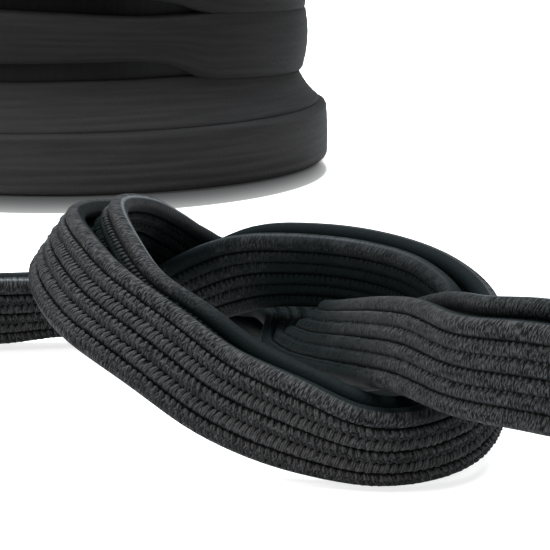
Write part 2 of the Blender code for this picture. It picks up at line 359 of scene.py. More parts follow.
def finish_piece(name, mesh, finish, smooth_angle=60.0):
    """Make a mesh into a shown piece on the reel, with its finish."""
    mesh.name = name
    mesh.shade_smooth()
    mesh.set_sharp_from_angle(angle=math.radians(smooth_angle))
    mesh.materials.append(finish)
    piece = placed(name, mesh)
    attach(piece, "root")
    print(name, "has", sum(len(face.vertices) - 2 for face in mesh.polygons), "triangles")
    return piece


def tape_mesh(route, section, row_step, curl=0.0):
    """A closed tube of tape along a route, with travel and place kept as its UV map.

    curl: how far the tape's edges curl back, one value or one for each row of the route.
    """
    rows = max(3, round(route.length / row_step))
    columns = len(section.across)
    bm = bmesh.new()
    bmesh.ops.create_grid(bm, x_segments=rows, y_segments=columns, size=0.5)
    uv = bm.loops.layers.uv.new("tape")
    for face in bm.faces:
        for corner in face.loops:
            column = round((corner.vert.co.y + 0.5) * columns)
            place = 2 * PITCHES if column == columns else section.place[column]
            corner[uv].uv = ((corner.vert.co.x + 0.5) * route.length / CORD_PITCH, place)
    points = np.array([vertex.co[:] for vertex in bm.verts])
    column = np.rint((points[:, 1] + 0.5) * columns).astype(int) % columns
    straight = np.stack([
        (points[:, 0] + 0.5) * route.length,
        section.across[column],
        section.height[column],
    ], axis=1)
    curls = np.interp(straight[:, 0], route.travel, curl + 0.0 * route.travel)
    straight[:, 2] -= curls * (2 * straight[:, 1] / NOMINAL_WIDTH) ** 2
    for vertex, place in zip(bm.verts, laid(route, straight)):
        vertex.co = place
    bmesh.ops.remove_doubles(bm, verts=bm.verts, dist=1e-7)
    bmesh.ops.holes_fill(bm, edges=[edge for edge in bm.edges if edge.is_boundary])
    bmesh.ops.recalc_face_normals(bm, faces=bm.faces)
    return new_mesh(bm, "tape")

# %% [markdown]
# ## Shader maths
#
# Material sums read best as plain Python. Signal wraps one output socket, and each operator
# on it adds a Math node. Every other node comes from Finish.node.

# %% Small classes for writing materials as expressions
class Signal:
    """An output socket that can be used in sums."""

    def __init__(self, finish, socket):
        self.finish = finish
        self.socket = socket

    def maths(self, operation, *values):
        """A Math node on this signal and others."""
        return self.finish.node("ShaderNodeMath", {"operation": operation}, dict(enumerate(values)))

    def __add__(self, other):
        return self.maths("ADD", self, other)

    def __radd__(self, other):
        return self.maths("ADD", other, self)

    def __sub__(self, other):
        return self.maths("SUBTRACT", self, other)

    def __rsub__(self, other):
        return self.maths("SUBTRACT", other, self)

    def __mul__(self, other):
        return self.maths("MULTIPLY", self, other)

    def __rmul__(self, other):
        return self.maths("MULTIPLY", other, self)

    def __truediv__(self, other):
        return self.maths("DIVIDE", self, other)

    def __rtruediv__(self, other):
        return self.maths("DIVIDE", other, self)

    def maths_of(self, operation, *values):
        """A Math node of this signal and some plain values."""
        return self.maths(operation, self, *values)

    def absolute(self):
        """The value without its sign."""
        return self.maths("ABSOLUTE", self)

    def absolute_sine(self):
        """The sine without its sign: a row of humps, one for each half turn."""
        return self.maths("SINE", self).absolute()


class Finish:
    """One material on the Principled shader."""

    def __init__(self, name, **constants):
        self.material = bpy.data.materials.new(name)
        self.material.use_nodes = True
        self.tree = self.material.node_tree
        self.shader = self.tree.nodes["Principled BSDF"]
        for socket, value in constants.items():
            self.shader.inputs[socket.replace("_", " ")].default_value = value

    def node(self, kind, settings=None, values=None, output=0):
        """Add a node: its settings first, then the values or links of its sockets."""
        node = self.tree.nodes.new(kind)
        for key, value in (settings or {}).items():
            setattr(node, key, value)
        for key, value in (values or {}).items():
            self.feed(node.inputs[key], value)
        return Signal(self, node.outputs[output])

    def feed(self, socket, value):
        """Link a signal to a socket, or set the socket to a plain value."""
        if isinstance(value, Signal):
            self.tree.links.new(value.socket, socket)
        else:
            socket.default_value = value

    def shade(self, socket, value):
        """Feed one of the shader's own sockets."""
        self.feed(self.shader.inputs[socket], value)

# %% [markdown]
# ## The finish of the braid
#
# The yarn is matt black textured polyester. Close up it isn't one black: each yarn is a
# bundle of fine filaments that catch the light in hairlines, and the bottoms of the grooves
# get painted shade. A painted highlight also pales the loose tape's upper edge. The tape's own
# map gives the travel and the place across it in cord pitches, so hairlines, grooves and
# stitches all follow the tape round its bends.

# %% Colours of the yarn
RIB_BLACK = (0.0022, 0.0026, 0.0028, 1.0)
RIB_LIGHT = (0.0480, 0.0474, 0.0492, 1.0)
STITCH_BLACK = (0.0026, 0.0028, 0.0030, 1.0)
STITCH_LIGHT = (0.0500, 0.0494, 0.0505, 1.0)
# darker than the other stitches: painted shade, as the lobes sit on a rib's lower shoulder
SHADED_LOBE_LIGHT = (0.0240, 0.0240, 0.0246, 1.0)
WOUND_BLACK = (0.0150, 0.0145, 0.0147, 1.0)
WOUND_LIGHT = (0.0210, 0.0203, 0.0206, 1.0)
# the laps deep in the roll: a darker copy of the wound yarn, painted shade
DEEP_SHADED_LIGHT = (0.0075, 0.0073, 0.0075, 1.0)
DEEP_SHADED_BLACK = (0.0055, 0.0054, 0.0055, 1.0)
# painted shade at the bottoms of the grooves
GROOVE_SHADE_BLACK = (0.0006, 0.0008, 0.0009, 1.0)
# painted highlight on the tape's upper edge
RIM_HIGHLIGHT_GREY = (0.1350, 0.1480, 0.1560, 1.0)
# the greener black of painted shade, where the knot shuts the tape in
SHUT_SHADE_BLACK = (0.0006, 0.0023, 0.0027, 1.0)
print("a rib's lightest yarn is %.0f times as light as a groove" % (RIB_LIGHT[1] / GROOVE_SHADE_BLACK[1]))

# %% Short names for the nodes that a finish repeats
STITCH_PITCH = 0.45 * MM
STITCHES_A_PITCH = CORD_PITCH / STITCH_PITCH
Weave = namedtuple("Weave", "tape_map travel place thread folded")
# thread: along a yarn that leans across the tape. folded: the place across either face.


def ramp(finish, value, low, high, start=0.0, end=1.0):
    """A smooth step of a value from one place to another."""
    return finish.node("ShaderNodeMapRange", {"interpolation_type": "SMOOTHSTEP"},
                       {"Value": value, "From Min": low, "From Max": high, "To Min": start, "To Max": end})


def mixed(finish, share, first, second):
    """A colour between two others."""
    return finish.node("ShaderNodeMix", {"data_type": "RGBA", "clamp_factor": True},
                       {0: share, 6: first, 7: second}, 2)


def scaled(finish, colour, tone):
    """A colour made lighter or darker."""
    return finish.node("ShaderNodeVectorMath", {"operation": "SCALE"}, {0: colour, "Scale": tone})


def noise(finish, vector, scale=1.0, roughness=0.5):
    """Noise over the tape's map."""
    return finish.node("ShaderNodeTexNoise", {"noise_dimensions": "2D"},
                       {"Vector": vector, "Scale": scale, "Detail": 2.0, "Roughness": roughness})


def grained(finish, along, across, grain):
    """The tape's map, stretched so that noise on it has this grain along and across."""
    return finish.node("ShaderNodeCombineXYZ", values={0: along * grain[0], 1: across * grain[1]})


def weave_of(finish, lean):
    """The tape's map as signals, all in cord pitches."""
    tape_map = finish.node("ShaderNodeUVMap", {"uv_map": "tape"})
    travel = finish.node("ShaderNodeSeparateXYZ", values={0: tape_map})
    place = Signal(finish, travel.socket.node.outputs[1])
    return Weave(tape_map, travel, place, travel + place * lean, PITCHES - (place - PITCHES).absolute())


def humps(weave, count=1.0):
    """A row of humps along the thread, so many to each stitch."""
    return (weave.thread * (math.pi * count * STITCHES_A_PITCH)).absolute_sine()


# %% [markdown]
# Black yarn shows only the light that reaches it, so light and shade are painted into its tone
# by where it lies. On the loose end painted shade fades it to a greener black where the rest of
# the knot shuts it in. The roll is painted lightest at its foot, which the paper lights, and the
# laps inside a gape get painted shade.

# %% Painted light and shade by the place of the yarn
SHUT = 0.50  # the openness at which the yarn is all the greener black of painted shade
OPEN = 1.00  # and at which it has its full colour
ToneStep = namedtuple("ToneStep", "low high start end")
# Painted light and shade: one tone at a low height and another at a high one, in millimetres.
# The steps are added.
# the roll: painted light at its foot, which the paper lights, and painted shade higher up
ROLL_LIGHT_AND_SHADE = [
    ToneStep(1.0, 6.5, 0.85, 0.00),  # the lowest tier
    ToneStep(6.0, 15.0, 0.98, 0.66),  # the tiers over it
    ToneStep(0.0, 1.2, 1.60, 0.00),  # the edge on the paper
]
# painted shade on the laps in a gape: darker higher up, lighter towards the right
GAPE_LIGHT_AND_SHADE = [ToneStep(11.0, 14.0, 0.90, 0.30)]
GAPE_RIGHT = (4.0 * MM, 10.0 * MM)  # the x over which painted light on the laps in a gape grows
# painted shade along each lap's upper rib, by the seam
UPPER_RIB = 0.4  # pitches from a lap's upper edge
UPPER_RIB_SHADE = 0.75
OBJECT_PLACE = 3  # the output of Texture Coordinate that is a place in the frame


def in_frame(finish, axis):
    """One coordinate in the frame: 0 is x and 2 is the height over the table."""
    place = finish.node("ShaderNodeTexCoord", output=OBJECT_PLACE)
    return finish.node("ShaderNodeSeparateXYZ", values={0: place}, output=axis)


def tone_at_height(finish, steps):
    """Painted light and shade by height: the sum of some steps of tone."""
    height = in_frame(finish, 2)
    tones = [ramp(finish, height, step.low * MM, step.high * MM, step.start, step.end) for step in steps]
    return sum(tones[1:], tones[0])


def shut_in_shade(finish, weave, colour):
    """The loose end's colour, mixed with the greener black of painted shade where it is less open."""
    openness = finish.node("ShaderNodeAttribute", {"attribute_name": "open"}, output=2)
    return mixed(finish, ramp(finish, openness, SHUT, OPEN), SHUT_SHADE_BLACK, colour)


def on_roll(finish, weave, colour):
    """The roll's outer laps' colour, with painted light and shade by height and at each upper rib."""
    tone = tone_at_height(finish, ROLL_LIGHT_AND_SHADE)
    return scaled(finish, colour, tone * ramp(finish, weave.folded, 0.0, UPPER_RIB, UPPER_RIB_SHADE, 1.0))


def in_gape(finish, weave, colour):
    """The colour of the laps that show where two tiers gape, with painted light and shade."""
    tone = tone_at_height(finish, GAPE_LIGHT_AND_SHADE) + ramp(finish, in_frame(finish, 0), *GAPE_RIGHT)
    return scaled(finish, colour, tone)


# %% The braid's finish
HAIR_GRAIN = (9.0, 2.6)  # along a thread and across
HAIR_LIMITS = (0.39, 0.70)  # the noise of the darkest hairline, and of the lightest
HAIR_SHARES = (0.9, 0.5, 0.22)  # of hairlines, of soft patches, and what is taken off
PATCH_SCALE = 0.7
FILAMENT_SHARES = (0.55, 0.50)  # of hairlines and of humps
STREAK_GRAIN = (0.10, 1.9)
STREAK_LIMITS = (0.3, 0.7)
DIP_LIMITS = (0.05, 0.55)
DIP_SHADE = 0.6  # how dark the painted shade in the dips between stitches is, at full strength
GROOVE_REACH = 0.55  # the share of half a rib that a groove's painted shade reaches
PLAIN_EDGE = 0.7  # pitches from each edge to where the first groove may start
RIM_REACH = 0.034  # pitches from the tape's very edge, over which the painted highlight fades
RIM_SHARES = (0.6, 0.8)  # of humps and of hairlines, in the painted highlight
HAIR_RELIEF = (0.5, 0.3)  # how much of the hairlines' relief is left under filaments, and stitches
BUMP_STRENGTH = 0.6
BUMP_DEPTH = 0.06 * MM
ROUGHEST = 0.86
HAIR_GLOSS = 0.35


def near_groove(finish, folded):
    """Where a groove gets painted shade: 1 at its bottom, and 0 on the ribs and on the outer edges."""
    phase = (folded + (1.0 - EDGE_SHARE + 0.5)).maths_of("FRACT")
    away = (phase - 0.5).absolute() * 2.0
    inside = folded.maths_of("GREATER_THAN", PLAIN_EDGE) * folded.maths_of("LESS_THAN", PITCHES - PLAIN_EDGE)
    return ramp(finish, away, 0.0, GROOVE_REACH, 1.0, 0.0) * inside


def yarn_finish(name, dark, light, lean, toned, filaments=0.0, grooves=0.0, rim_highlight=0.0, stitches=0.0,
                streaks=0.0):
    """Matt black yarn: hairlines that lean across the tape, and what the piece adds to them."""
    finish = Finish(name, Metallic=0.0, Specular_IOR_Level=0.04, Sheen_Weight=0.004, Sheen_Roughness=0.45)
    weave = weave_of(finish, lean)
    hairs = noise(finish, grained(finish, weave.thread, weave.place, HAIR_GRAIN), roughness=0.6)
    patches = noise(finish, weave.tape_map, PATCH_SCALE)
    relief = hairs
    shade = ramp(finish, hairs, *HAIR_LIMITS) * HAIR_SHARES[0] + patches * HAIR_SHARES[1] - HAIR_SHARES[2]
    if filaments > 0.0:
        wave = humps(weave, filaments)
        relief = hairs * HAIR_RELIEF[0] + wave
        shade = shade * FILAMENT_SHARES[0] + wave * FILAMENT_SHARES[1]
    if streaks > 0.0:
        streak = noise(finish, grained(finish, weave.travel, weave.place, STREAK_GRAIN))
        shade = shade * (1.0 - streaks) + ramp(finish, streak, *STREAK_LIMITS) * streaks
    # stitches as bumps, with painted shade in the dips between them
    if stitches > 0.0:
        bumps = humps(weave)
        relief = relief * HAIR_RELIEF[1] + bumps * stitches
        shade = shade * ramp(finish, bumps, *DIP_LIMITS, 1.0 - stitches * DIP_SHADE, 1.0)
    colour = mixed(finish, shade, dark, light)
    # painted shade at the bottoms of the grooves
    if grooves > 0.0:
        colour = mixed(finish, near_groove(finish, weave.folded) * grooves, colour, GROOVE_SHADE_BLACK)
    # painted highlight along the tape's upper edge, in scallops
    if rim_highlight > 0.0:
        scallops = humps(weave) * RIM_SHARES[0] + hairs * RIM_SHARES[1]
        edge = ramp(finish, weave.folded, 0.0, RIM_REACH, rim_highlight, 0.0)
        colour = mixed(finish, edge * scallops, colour, RIM_HIGHLIGHT_GREY)
    bump = finish.node("ShaderNodeBump",
                       values={"Strength": BUMP_STRENGTH, "Distance": BUMP_DEPTH, "Height": relief})
    # toned paints light and shade by where the yarn lies
    finish.shade("Base Color", toned(finish, weave, colour))
    finish.shade("Roughness", ROUGHEST - hairs * HAIR_GLOSS)
    finish.shade("Normal", bump)
    return finish.material


rib_finish = yarn_finish("braid over the cords", RIB_BLACK, RIB_LIGHT, 0.25, shut_in_shade, grooves=0.9, rim_highlight=0.65)
bead_finish = yarn_finish("yarn diving between cords", STITCH_BLACK, STITCH_LIGHT, -0.35, shut_in_shade,
                          filaments=2.0)
lobe_finish = yarn_finish("yarn beside a groove", STITCH_BLACK, SHADED_LOBE_LIGHT, -0.35, shut_in_shade, filaments=2.0)
crossing_finish = yarn_finish("yarn crossing between cords", STITCH_BLACK, STITCH_LIGHT, 0.25, shut_in_shade,
                              filaments=3.0)
roll_finish = yarn_finish("braid on the roll", WOUND_BLACK, WOUND_LIGHT, 0.25, on_roll, grooves=0.06,
                          stitches=0.10, streaks=0.65)
deep_shaded_finish = yarn_finish("braid deep in the roll", DEEP_SHADED_BLACK, DEEP_SHADED_LIGHT, 0.25, in_gape, grooves=0.1,
                          streaks=0.8)
print("finishes", [material.name for material in bpy.data.materials])

# %% [markdown]
# ## Light inside the knot
#
# Little light reaches the inside of a tight knot, more than the render alone would show. So
# from each place on the tape a fan of glances is tried, and the share that gets away is kept
# on the mesh as how open the place is. The finish reads it. Some stretches are dimmed further, as listed.

# %% How open each place on the loose tape is
GLANCES = 40  # directions that are tried from each place
GLANCE_REACH = 28.0 * MM
GLANCE_ACROSS = 0.8  # half widths from the middle
GOLDEN_TURN = math.pi * (3 - math.sqrt(5))  # from one glance to the next, so that they spread
EDGE_TILT = 1.0  # how far the glances from the upper edge lean up with its rounding
GLANCE_START = 0.25 * MM  # over the face, so that a glance starts clear of its own ribs
LOOP_MIDDLE = (25.0 * MM, -99.5 * MM, 0.0)  # the paper inside the knot's loop, which has painted shade
LOOP_SHADE_EDGE = (5.0 * MM, 8.0 * MM)  # radii of where it is darkest, and of where it ends
# Some stretches, where the tape is taut or lies deep, get more painted shade: at a travel in mm,
# how much less open.
DIMMED = np.array([
    (118, 0.00), (124, 0.05), (160, 0.05), (167, 0.35), (177, 0.35), (186, 0.00), (213, 0.00),
    (219, 0.50), (247, 0.35), (258, 0.11), (362, 0.11), (374, 0.50), (403, 0.50), (409, 0.00),
])


def glances(face, upper, along):
    """Directions over one face, closer together towards its own direction."""
    found = []
    for k in range(GLANCES):
        out = math.sqrt((k + 0.5) / GLANCES)
        turn = k * GOLDEN_TURN
        aside = upper * math.cos(turn) + along * math.sin(turn)
        found.append(face * math.sqrt(1 - out * out) + aside * out)
    return found


def open_glances(route, tree):
    """The share of open glances on each face and at each of three places across it."""
    shares = np.zeros((2, 3, len(route.middle)))
    for row, (middle, upper, face) in enumerate(zip(route.middle, route.upper, route.face)):
        half = route.width[row] / 2
        for number, side in enumerate((1, -1)):
            for k, across in enumerate((GLANCE_ACROSS, 0.0, -GLANCE_ACROSS)):
                tilt = math.atan(EDGE_TILT) * max(across, 0.0)
                over = side * face * math.cos(tilt) + upper * math.sin(tilt)
                beside = upper * math.cos(tilt) - side * face * math.sin(tilt)
                ways = glances(over, beside, np.cross(upper, face))
                start = middle + upper * (across * half) + face * (side * (THICKNESS / 2 + GLANCE_START))
                free = GLANCES
                for way in ways:
                    if tree.ray_cast(start, way, GLANCE_REACH)[0] is not None:
                        free -= 1
                    elif way[2] < 0:
                        paper = start + way * (-start[2] / way[2])
                        free -= math.dist(paper, LOOP_MIDDLE) < LOOP_SHADE_EDGE[0]
                shares[number, k, row] = free / GLANCES
    return shares


def mark_openness(mesh, travel, across, near):
    """Keep how open each vertex is as an attribute. across: from 1 at the upper edge to -1."""
    upper, middle, lower = (
        np.where(near, np.interp(travel, loose.travel, open_shares[0, k]),
                 np.interp(travel, loose.travel, open_shares[1, k])) for k in range(3)
    )
    off = np.clip(across / GLANCE_ACROSS, -1.0, 1.0)
    share = middle + (upper - middle) * np.maximum(off, 0.0) + (lower - middle) * np.maximum(-off, 0.0)
    share = share - np.interp(travel, DIMMED[:, 0] * MM, DIMMED[:, 1])
    mesh.attributes.new("open", "FLOAT", "POINT").data.foreach_set("value", share)


LOOSE_ROW = 0.8 * MM
loose_mesh = tape_mesh(loose, close_section, LOOSE_ROW)
bm = bmesh.new()
bm.from_mesh(loose_mesh)
open_shares = open_glances(loose, BVHTree.FromBMesh(bm))
bm.free()
print("open from %.2f to %.2f" % (open_shares.min(), open_shares.max()))

# %% [markdown]
# ## The loose end
#
# The tube of tape has its real length, and follows its middle line. It leaves the roll at
# the left, where the outermost lap lifts off.

# %% The ribbed tape of the loose end
def corner_vertices(mesh):
    """The vertex of each face corner, as an array."""
    corners = np.empty(len(mesh.loops), int)
    mesh.loops.foreach_get("vertex_index", corners)
    return corners


corner_uv = np.empty(len(loose_mesh.loops) * 2)
loose_mesh.uv_layers["tape"].data.foreach_get("uv", corner_uv)
vertex_uv = np.zeros((len(loose_mesh.vertices), 2))
vertex_uv[corner_vertices(loose_mesh)] = corner_uv.reshape(-1, 2)
mark_openness(loose_mesh, vertex_uv[:, 0] * CORD_PITCH, 2 * np.abs(vertex_uv[:, 1] / PITCHES - 1) - 1,
              vertex_uv[:, 1] < PITCHES)
loose_tape = finish_piece("loose_tape", loose_mesh, rib_finish)
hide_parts("loose_end")

# %% [markdown]
# ## Stitches
#
# On the real braid two kinds of yarn float stand up from the ribs. Along the deep grooves the
# yarns dive between two cords and leave a row of small round beads. Over the shallow grooves
# they cross from cord to cord, and leave a row of longer slanted stitches that hug the rib.
# One stitch is shaped from a small ball. An Array modifier repeats it into a straight row,
# and the row is laid along the tape like everything else. Each stitch is shifted, sized and
# leant a little on its own, because no yarn tension is even.

# %% Sizes of the stitches
Stitch = namedtuple("Stitch", "offset half_travel half_across half_height lean phase")
# offset: pitches below the groove line. The sizes are millimetres. lean: travel for each
# step across. phase: the share of the stitch pitch by which the row is shifted.
BEAD = Stitch(0.22, 0.205, 0.215, 0.170, -0.35, 0.0)
CROSSING = Stitch(0.38, 0.225, 0.420, 0.160, 0.25, 0.2)
LOBE = Stitch(-0.26, 0.245, 0.240, 0.110, -0.50, 0.5)
DEEP_LINES = (0, 2, 4)
CROSSED_LINES = (1, 3)
LOBED_LINES = (1, 3, 5)
SIZE_SPREAD = 0.07  # how far stitches differ in length and breadth
SWELL_SPREAD = 0.12  # and in height
LEAN_SPREAD = 0.08
SLIP_SPREAD = 0.05  # stitch pitches
STITCH_LEVEL = THICKNESS / 2 - 0.06 * MM  # a stitch lies halfway from the face to this height
STITCH_SINK = 0.02 * MM
# Taut or hard bent tape has its stitches deeper between the ribs: travel and depth in mm.
SUNK = np.array([
    (116, 0.00), (126, 0.09), (160, 0.09), (170, 0.00), (222, 0.00), (238, 0.07),
    (268, 0.07), (290, 0.12), (340, 0.12), (360, 0.07), (385, 0.07), (400, 0.00),
])
print("%.0f stitches in a row" % (loose.length / STITCH_PITCH))

# %% One row of stitches
ROW_SPACING = 4.0  # far enough that the copies of a ball of radius 1 stay apart
QUARTER_TURN = Matrix.Rotation(math.pi / 2, 3, "X")
profile_places, profile_heights = face_profile(CLOSE_SHARES)
rng = np.random.default_rng(6)


def ball(segments, rings):
    """A small closed ball of few faces, its poles across the tape."""
    bm = bmesh.new()
    bmesh.ops.create_uvsphere(bm, u_segments=segments, v_segments=rings, radius=1.0)
    bmesh.ops.rotate(bm, verts=bm.verts, cent=(0, 0, 0), matrix=QUARTER_TURN)
    return new_mesh(bm, "ball")


def repeated(mesh, count, spacing):
    """The mesh repeated along X by an Array modifier, applied."""
    maker = placed("row", mesh)
    array = maker.modifiers.new("array", "ARRAY")
    array.use_relative_offset = False
    array.use_constant_offset = True
    array.constant_offset_displace = (spacing, 0.0, 0.0)
    array.count = count
    bpy.context.view_layer.update()
    row = bpy.data.meshes.new_from_object(maker.evaluated_get(bpy.context.evaluated_depsgraph_get()))
    bpy.data.objects.remove(maker)
    return row


def stitch_places(points, count, groove, stitch, side):
    """Straight-tape places for the points of a row of stitches: travel, across, height."""
    each = len(points) // count
    copy = np.repeat(np.arange(count), each)
    local = points - copy[:, None] * ROW_SPACING * np.array([1.0, 0.0, 0.0])
    size = rng.normal(1.0, SIZE_SPREAD, count)[copy]
    swell = rng.normal(1.0, SWELL_SPREAD, count)[copy]
    lean = side * stitch.lean + rng.normal(0.0, LEAN_SPREAD, count)[copy]
    slip = rng.normal(0.0, SLIP_SPREAD, count)[copy]
    across = local[:, 1] * stitch.half_across * size * MM
    middle = (copy + 0.5 + stitch.phase + slip) * STITCH_PITCH
    travel = middle + local[:, 0] * stitch.half_travel * size * MM + lean * across
    place = EDGE_SHARE + groove + stitch.offset - across / CORD_PITCH
    surface = np.interp(place, profile_places, profile_heights)
    height = surface * 0.5 + STITCH_LEVEL * 0.5 - STITCH_SINK
    sunk = np.interp(travel, SUNK[:, 0] * MM, SUNK[:, 1] * MM)
    height = height + local[:, 2] * stitch.half_height * swell * MM - sunk
    return np.stack([travel, (PITCHES / 2 - place) * CORD_PITCH, side * height], axis=1), place


def stitched(name, route, rows, finish, segments, rings):
    """A piece that joins several rows of stitches, laid along a route."""
    count = int(route.length / STITCH_PITCH) - 2
    row = repeated(ball(segments, rings), count, ROW_SPACING)
    points = np.empty(len(row.vertices) * 3)
    row.vertices.foreach_get("co", points)
    points = points.reshape(-1, 3)
    bm = bmesh.new()
    straight = []
    marks = []
    for groove, stitch, side in rows:
        bm.from_mesh(row)
        places, place = stitch_places(points, count, groove, stitch, side)
        straight.append(places)
        marks.append(place if side > 0 else 2 * PITCHES - place)
    mesh = new_mesh(bm, name)
    straight = np.vstack(straight)
    mesh.vertices.foreach_set("co", laid(route, straight).ravel())
    uv = np.stack([straight[:, 0] / CORD_PITCH, np.concatenate(marks)], axis=1)[corner_vertices(mesh)]
    mesh.uv_layers.new(name="tape").data.foreach_set("uv", uv.ravel())
    mark_openness(mesh, straight[:, 0], straight[:, 1] * 2 / NOMINAL_WIDTH, rows[0][2] > 0)
    if rows[0][2] < 0:
        mesh.flip_normals()
    mesh.update()
    return finish_piece(name, mesh, finish, 180.0)


# %% All the stitches of the loose end
for side, side_name in ((1, "near"), (-1, "far")):
    beads = [(line, BEAD, side) for line in DEEP_LINES]
    crossings = [(line, CROSSING, side) for line in CROSSED_LINES]
    lobes = [(line, LOBE, side) for line in LOBED_LINES]
    stitched(f"loose_beads_{side_name}", loose, beads, bead_finish, 6, 3)
    stitched(f"loose_crossings_{side_name}", loose, crossings, crossing_finish, 6, 4)
    stitched(f"loose_lobes_{side_name}", loose, lobes, lobe_finish, 6, 3)

# %% [markdown]
# ## The roll: its outer laps
#
# The roll has no core. The tape was wound lap over lap into a flat ring, then the next ring
# was wound under it, and so on down to the table. Each tier's outer lap is what shows. They
# are one run of tape: at the back left it steps down from each tier to the next, and at the
# bottom it goes once more round the outside, over its own start, before it lifts off and
# becomes the loose end. The seams between tiers are not level, and two of them gape in front.

# %% Sizes of the roll
Tier = namedtuple("Tier", "radius slant curl seam climb highest gap gap_middle gap_reach gap_turn")
# radius: of the outer lap at half its height, which leans in by slant at its upper edge.
# curl: how far its edges curl in. seam: the height of its upper edge, which climbs and falls
# by climb, highest at one angle. gap: how far the seam gapes there, over an angle each side
# of its middle. gap_turn: how the gape moves, with each degree, from the tier below it to
# the one above.
TIERS = [
    Tier(24.00, 0.05, 0.10, 4.95, 0.60, 300, 0.0, 240, 60, 0.0),
    Tier(22.20, 1.35, -0.25, 9.50, 1.90, 225, 1.5, 240, 76, 0.02),
    Tier(22.15, -0.15, 0.45, 15.40, 1.70, 225, 1.6, 245, 72, 0.0),
    Tier(22.10, 0.00, 0.35, 20.70, 1.40, 215, 0.3, 90, 60, 0.0),
    Tier(22.40, 0.10, 0.35, 25.90, 1.10, 200, 0.5, 300, 50, 0.0),
    Tier(22.20, 0.25, 0.35, 31.00, 0.80, 200, 0.4, 150, 60, 0.0),
    Tier(21.90, -0.15, 0.35, 36.15, 0.40, 230, 0.5, 40, 60, 0.0),
    Tier(22.30, 0.00, 0.35, 41.30, 0.00, 0, 0.0, 0, 60, 0.0),
]
LAP_STEP = 1.32  # millimetres, from one lap to the one over it
STEP_DOWN_MIDDLE = 100.0  # degrees round the roll, where the tape goes down a tier
STEP_DOWN_REACH = 35.0  # degrees on each side
LAST_ANGLE = 180.0  # where the tape leaves the roll
OVERLAP = 41.0  # degrees over which the last lap comes out over its own start
LIFT_OFF = 40.0  # degrees over which the last lap takes the loose end's height
WIDEST = 5.5  # millimetres, of a lap that lies flat on the roll
EDGE_OVERLAP = 0.80  # millimetres, by which a lap's lower edge tucks in under the seam
ANGLE_STEP = 3.0  # degrees between the rows of the run
SEAM_SHARE = 0.55  # how much of a gape comes from the tier below it
TURN_OFF = 39.0  # degrees past the gape's middle, where a turning gape has that share
GAPE_FADE = 30.0  # degrees over which a gape closes
print("%d tiers, %.1f mm high" % (len(TIERS), TIERS[-1].seam))

# %% Where one tier's outer lap lies
def smooth(value):
    """A smooth step from 0 to 1."""
    value = np.clip(value, 0.0, 1.0)
    return value * value * (3 - 2 * value)


def seam_and_gap(tier, angle):
    """A tier's upper seam at an angle: its height, and its gape below and above that."""
    seam = tier.seam + tier.climb * np.cos(np.radians(angle - tier.highest))
    off = (angle - tier.gap_middle + 180.0) % 360.0 - 180.0
    gape = tier.gap * smooth((tier.gap_reach - np.abs(off)) / GAPE_FADE)
    share = np.clip(SEAM_SHARE + tier.gap_turn * (TURN_OFF - off), 0.0, 1.0)
    return seam, gape * share, gape * (1.0 - share)


def tier_lap(index, angle):
    """One tier's lap at some angles: its low edge, high edge, radius, slant and curl."""
    tier = TIERS[index]
    seam, below, _ = seam_and_gap(tier, angle)
    high = seam - below
    if index == 0:
        low = high - np.minimum(high, WIDEST)
    else:
        seam, under, above = seam_and_gap(TIERS[index - 1], angle)
        low = seam + above - EDGE_OVERLAP * (1.0 - smooth(under + above))
    level = 0.0 * angle
    return low, high, tier.radius + level, tier.slant + level, tier.curl + level


# %% The run of the outer laps
def outer_run():
    """The run of the outer laps, from the top tier down to where the tape lifts off."""
    last = len(TIERS) - 1
    start = LAST_ANGLE - 360.0 * last - (LAST_ANGLE - STEP_DOWN_MIDDLE) + STEP_DOWN_REACH - 360.0
    angle = np.arange(start, LAST_ANGLE + 0.01, ANGLE_STEP)
    angle = np.append(angle[:-1], LAST_ANGLE)
    steps = STEP_DOWN_MIDDLE - 360.0 * np.arange(last, 0, -1)
    level = last - sum(smooth((angle - step + STEP_DOWN_REACH) / (2 * STEP_DOWN_REACH)) for step in steps)
    laps = np.array([tier_lap(index, angle) for index in range(len(TIERS))])
    lower = np.minimum(np.floor(level).astype(int), last - 1)
    share = level - lower
    rows = np.arange(len(angle))
    low, high, radius, slant, curl = (laps[lower, column, rows] * (1 - share)
                                      + laps[lower + 1, column, rows] * share for column in range(5))
    radius = radius - LAP_STEP * (1 - smooth((angle - start) / OVERLAP))
    under = 1 - smooth((angle - LAST_ANGLE + 360.0) / OVERLAP)
    radius = radius - LAP_STEP * under * smooth(1.0 - level)
    width = np.minimum(high - low, WIDEST + EDGE_OVERLAP)
    height = high - width / 2
    leaving = smooth((angle - LAST_ANGLE + LIFT_OFF) / LIFT_OFF)
    height = height * (1 - leaving) + LEAD[0].z * leaving
    width = width * (1 - leaving) + LEAD[0].width * leaving
    return (angle, radius * MM - THICKNESS / 2, height * MM, width * MM, slant * MM), curl * MM


def coil(angle, radius, height, width, slant):
    """A route round the roll's axis."""
    turn = np.radians(angle)
    out = np.stack([np.cos(turn), np.sin(turn), 0 * turn], axis=1)
    middle = out * radius[:, None]
    middle[:, 2] = height
    lean = 2 * slant / width
    edge = np.array([0.0, 0.0, 1.0]) - out * lean[:, None]
    return Route(middle, edge, width)


outer_rows, outer_curl = outer_run()
outer_laps = coil(*outer_rows)
print("outer laps %.0f mm long" % (outer_laps.length / MM))

# %% [markdown]
# The tape's map makes the ribs and their grooves, and the same finish draws its stitches as
# bumps, because from here the roll's yarns are smaller than a pixel.

# %% The ribbed run round the outside
ROLL_ROW = 1.7 * MM
roll_outer = finish_piece("roll_outer_laps", tape_mesh(outer_laps, roll_section, ROLL_ROW, outer_curl),
                          roll_finish)
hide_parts("wound_roll")

